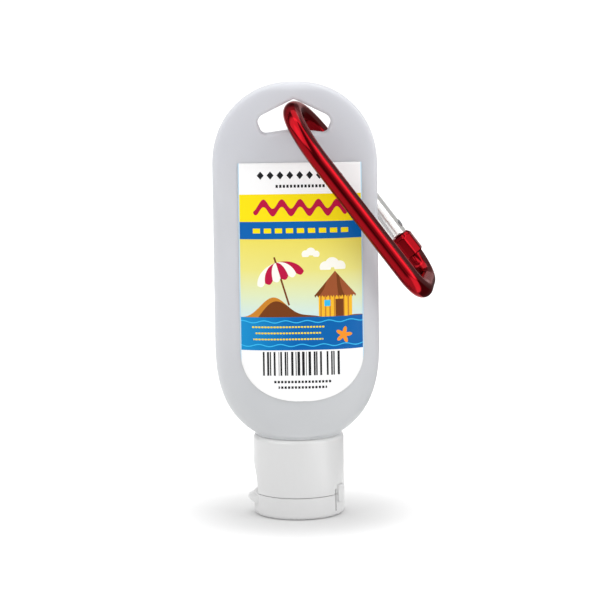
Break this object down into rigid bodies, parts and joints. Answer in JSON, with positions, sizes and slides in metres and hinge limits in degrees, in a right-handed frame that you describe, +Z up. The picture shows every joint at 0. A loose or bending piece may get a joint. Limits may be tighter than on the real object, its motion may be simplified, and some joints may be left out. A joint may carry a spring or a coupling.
{
  "type": "sunscreen bottle",
  "caption": "Flat oblong squeeze bottle that stands upside down on a flip-top screw cap, with a hang hole in its tab and a small snap hook through the hole.",
  "frame": {"origin": "middle of the flat face of the flip lid that the bottle stands on, on the bottle's long axis", "axes": "+Z up along the bottle, from the cap to the tab with the hang hole; +Y from the labelled front to the back, through the bottle's thickness; +X to the right seen from the front, the side of the cap's hinge and of the snap hook"},
  "size_m": [0.0586, 0.0273, 0.1156],
  "materials": {
    "frosted_polyethylene": "frosted, translucent",
    "printed_film": "satin print",
    "white_polypropylene": "satin",
    "foam_liner": "soft",
    "white_lid_polypropylene": "satin",
    "hinge_polypropylene": "satin",
    "strap_polypropylene": "satin",
    "red_anodised": "red anodised, polished",
    "bare_gate": "polished",
    "rivet_steel": "plain",
    "pin_steel": "plain",
    "spring_steel": "plain",
    "plunger_brass": "plain"
  },
  "bodies": {
    "bottle": {"bottle_body": "frosted_polyethylene", "front_label": "printed_film"},
    "cap_carrier": {"cap_seal": "foam_liner"},
    "cap": {"cap_base": "white_polypropylene", "hinge_film": "hinge_polypropylene", "hinge_straps": "strap_polypropylene"},
    "lid": {"flip_lid": "white_lid_polypropylene"},
    "hook": {"hook_body": "red_anodised", "gate_rivet": "rivet_steel"},
    "gate": {"hook_gate": "bare_gate", "gate_nose_pin": "pin_steel", "gate_spring": "spring_steel", "gate_plunger": "plunger_brass"}
  },
  "joints": [
    {"name": "cap_lift", "type": "slide", "parent": "bottle", "child": "cap_carrier", "axis": [0, 0, -1], "range_m": [0, 0.00477]},
    {"name": "cap_turn", "type": "hinge", "parent": "cap_carrier", "child": "cap", "pos_m": [0, 0, 0.01], "axis": [0, 0, -1], "range_deg": [0, 540]},
    {"name": "lid_flip", "type": "hinge", "parent": "cap", "child": "lid", "pos_m": [0.0122, 0, 0.00597], "axis": [0, -1, 0], "range_deg": [0, 160], "deforming": ["hinge_film", "hinge_straps"]},
    {"name": "hook_swing", "type": "hinge", "parent": "bottle", "child": "hook", "pos_m": [-0.0003, 0, 0.10775], "axis": [0, -1, 0], "range_deg": [0, 286]},
    {"name": "gate_open", "type": "hinge", "parent": "hook", "child": "gate", "pos_m": [0.02597, 0.01092, 0.0745], "axis": [0.7979, -0.1219, 0.5904], "range_deg": [0, 10], "stiffness_Nm_per_rad": 0.01, "springref_deg": -20.05, "deforming": ["gate_spring"]}
  ],
  "couplings": [
    {"joint": "cap_lift", "follows": "cap_turn", "m_per_rad": 0.00050532}
  ]
}
